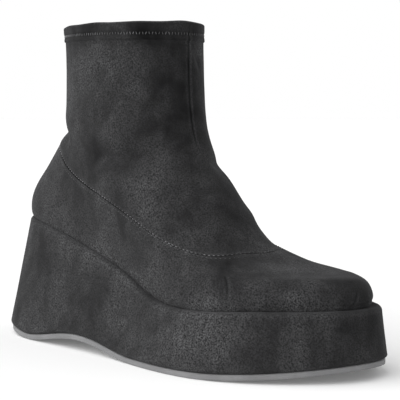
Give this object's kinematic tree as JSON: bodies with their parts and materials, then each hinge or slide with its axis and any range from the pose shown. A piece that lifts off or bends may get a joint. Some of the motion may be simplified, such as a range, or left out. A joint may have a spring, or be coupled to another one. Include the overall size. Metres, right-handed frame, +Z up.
{
  "type": "ankle boot",
  "caption": "Right pull-on ankle boot with a close stretch shaft and suede upper on a high suede-covered wedge with a thin rubber outsole",
  "frame": {"origin": "on the floor under the middle of the boot's box", "axes": "+X points to the toe, -Y to the boot's outer side, +Y to its inner side, +Z up"},
  "size_m": [0.2776, 0.115, 0.195],
  "materials": {
    "rubber": "matte grey rubber",
    "suede": "charcoal napped suede",
    "stretch_suede": "charcoal napped stretch suede",
    "insole_cloth": "plain black cloth"
  },
  "bodies": {
    "root": {"outsole": "rubber", "wedge": "suede", "insole": "insole_cloth", "upper": "suede", "shaft": "stretch_suede"}
  },
  "joints": []
}
